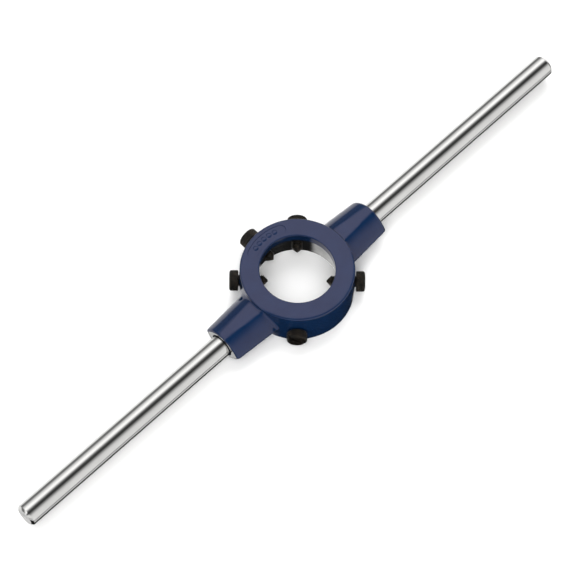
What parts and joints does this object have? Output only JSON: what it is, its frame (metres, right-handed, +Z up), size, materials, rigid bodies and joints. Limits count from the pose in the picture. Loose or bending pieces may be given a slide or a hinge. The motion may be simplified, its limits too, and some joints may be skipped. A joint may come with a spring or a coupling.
{
  "type": "die stock",
  "caption": "Two-handled die stock: a cast ring with a stepped pocket for a round threading die, straight rod handles and radial slotted screws that hold and adjust the die.",
  "frame": {"origin": "on the ring's axis, at the centre of the die pocket's mouth in the open face that the tool lies on", "axes": "+Z up the ring's axis from the open face to the shoulder, +X along the handles to the right, +Y to the spreading screw"},
  "size_m": [0.315, 0.0562, 0.018],
  "materials": {
    "blue_enamel": "dark blue gloss enamel on a casting, with the pocket and the end faces machined bare",
    "bright_steel": "bright plated steel rod, drawn straight grain",
    "black_oxide": "black oxide, satin, knurled heads"
  },
  "bodies": {
    "stock": {"body": "blue_enamel", "handle_left": "bright_steel", "handle_right": "bright_steel"},
    "spreading_screw": {"spreading_screw": "black_oxide"},
    "closing_screw_left": {"closing_screw_left": "black_oxide"},
    "closing_screw_right": {"closing_screw_right": "black_oxide"},
    "holding_screw_left": {"holding_screw_left": "black_oxide"},
    "holding_screw_right": {"holding_screw_right": "black_oxide"}
  },
  "joints": [
    {"name": "spreading_screw_feed", "type": "slide", "parent": "stock", "child": "spreading_screw", "axis": [0, 1, 0], "range_m": [-0.0022, 0.0049]},
    {"name": "closing_screw_left_feed", "type": "slide", "parent": "stock", "child": "closing_screw_left", "axis": [-0.7071, 0.7071, 0], "range_m": [-0.00025, 0.0069]},
    {"name": "closing_screw_right_feed", "type": "slide", "parent": "stock", "child": "closing_screw_right", "axis": [0.7071, 0.7071, 0], "range_m": [-0.00175, 0.0054]},
    {"name": "holding_screw_left_feed", "type": "slide", "parent": "stock", "child": "holding_screw_left", "axis": [-0.7071, -0.7071, 0], "range_m": [-0.00025, 0.0069]},
    {"name": "holding_screw_right_feed", "type": "slide", "parent": "stock", "child": "holding_screw_right", "axis": [0.7071, -0.7071, 0], "range_m": [-0.00025, 0.0069]}
  ]
}
